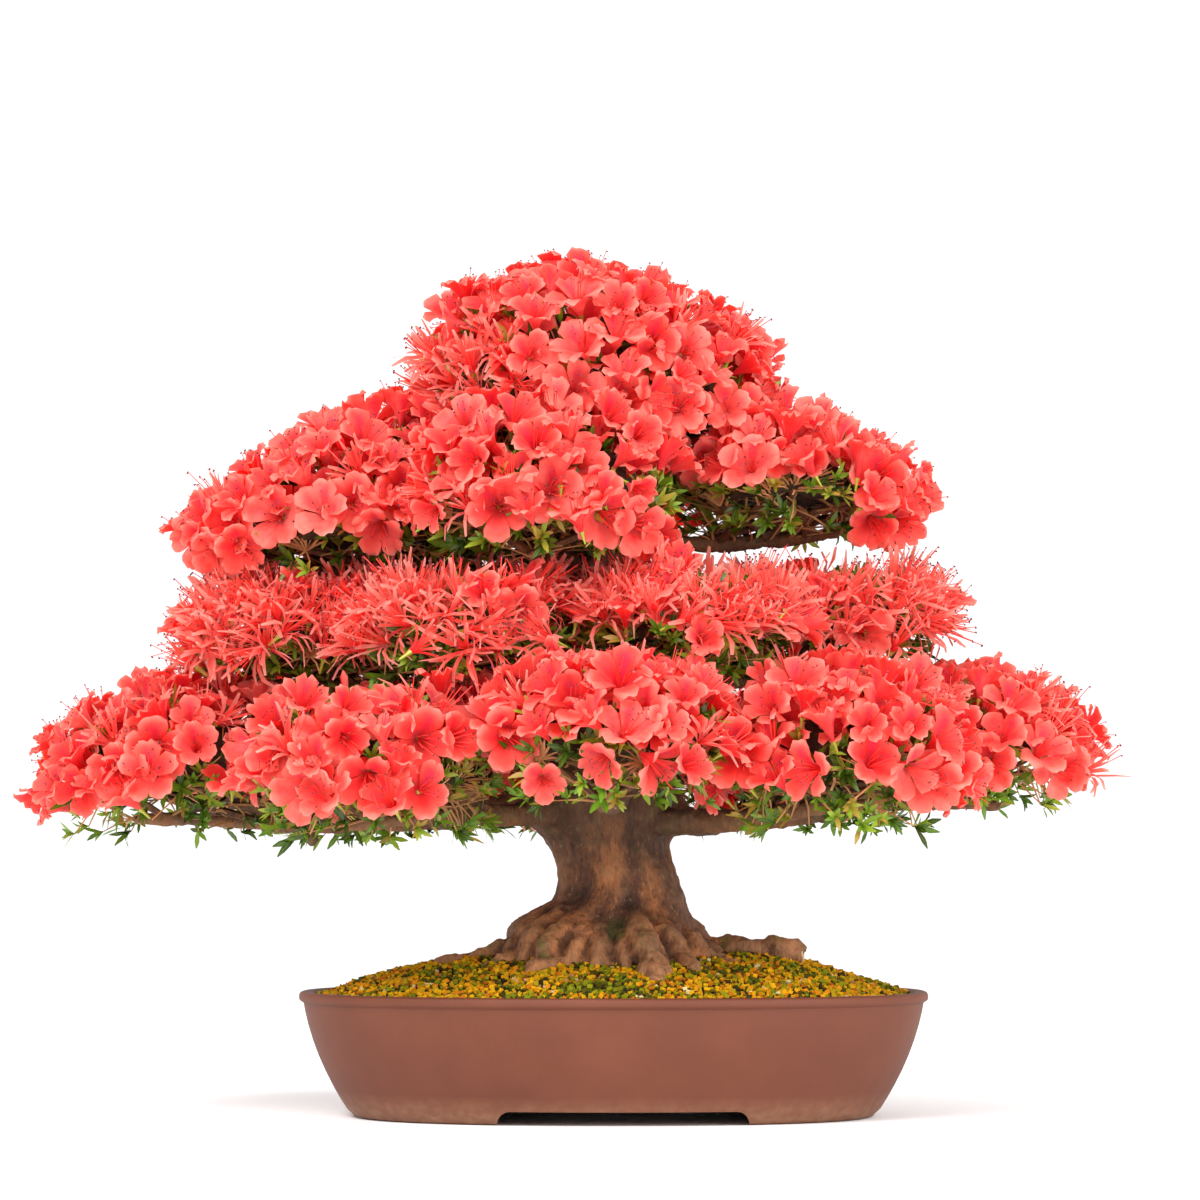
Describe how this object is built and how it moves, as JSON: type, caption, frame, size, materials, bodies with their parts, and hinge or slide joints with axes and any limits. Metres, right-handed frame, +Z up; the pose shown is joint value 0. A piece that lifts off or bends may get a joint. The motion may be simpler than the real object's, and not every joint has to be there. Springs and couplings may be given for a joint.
{
  "type": "satsuki azalea bonsai",
  "caption": "Flowering azalea bonsai with stacked tiers of coral blooms on a stout rooted trunk, in a footed oval unglazed pot.",
  "frame": {"origin": "on the table, under the middle of the whole outline; the pot's centre is 39 mm to +X of it", "axes": "+X to the viewer's right along the pot's length, +Y to the back, +Z up"},
  "size_m": [0.8752, 0.625, 0.6916],
  "materials": {
    "pot_clay": "unglazed red-brown stoneware, matt, faint mottling",
    "soil": "granular ochre soil with golden and green moss",
    "grit": "coarse pumice grit",
    "drain_screen": "black plastic net",
    "bark": "fluted grey-brown bark, orange-tan at the roots",
    "leaves": "small glossy leaves, bright to dark green, some olive",
    "petals": "thin translucent coral petals, paler at the edge, deep red in the throat"
  },
  "bodies": {
    "root": {"drain_screen_left": "drain_screen", "drain_screen_right": "drain_screen", "drainage_grit": "grit", "flowers_crown": "petals", "flowers_high_back": "petals", "flowers_high_front": "petals", "flowers_high_left": "petals", "flowers_high_right": "petals", "flowers_low_back": "petals", "flowers_low_back_left": "petals", "flowers_low_back_right": "petals", "flowers_low_front": "petals", "flowers_low_front_left": "petals", "flowers_low_front_right": "petals", "flowers_low_left": "petals", "flowers_low_right": "petals", "flowers_middle_back": "petals", "flowers_middle_front_left": "petals", "flowers_middle_front_right": "petals", "flowers_middle_left": "petals", "flowers_middle_right": "petals", "leaves_crown": "leaves", "leaves_high_back": "leaves", "leaves_high_front": "leaves", "leaves_high_left": "leaves", "leaves_high_right": "leaves", "leaves_low_back": "leaves", "leaves_low_back_left": "leaves", "leaves_low_back_right": "leaves", "leaves_low_front": "leaves", "leaves_low_front_left": "leaves", "leaves_low_front_right": "leaves", "leaves_low_left": "leaves", "leaves_low_right": "leaves", "leaves_middle_back": "leaves", "leaves_middle_front_left": "leaves", "leaves_middle_front_right": "leaves", "leaves_middle_left": "leaves", "leaves_middle_right": "leaves", "pot": "pot_clay", "soil": "soil", "wood": "bark"}
  },
  "joints": []
}
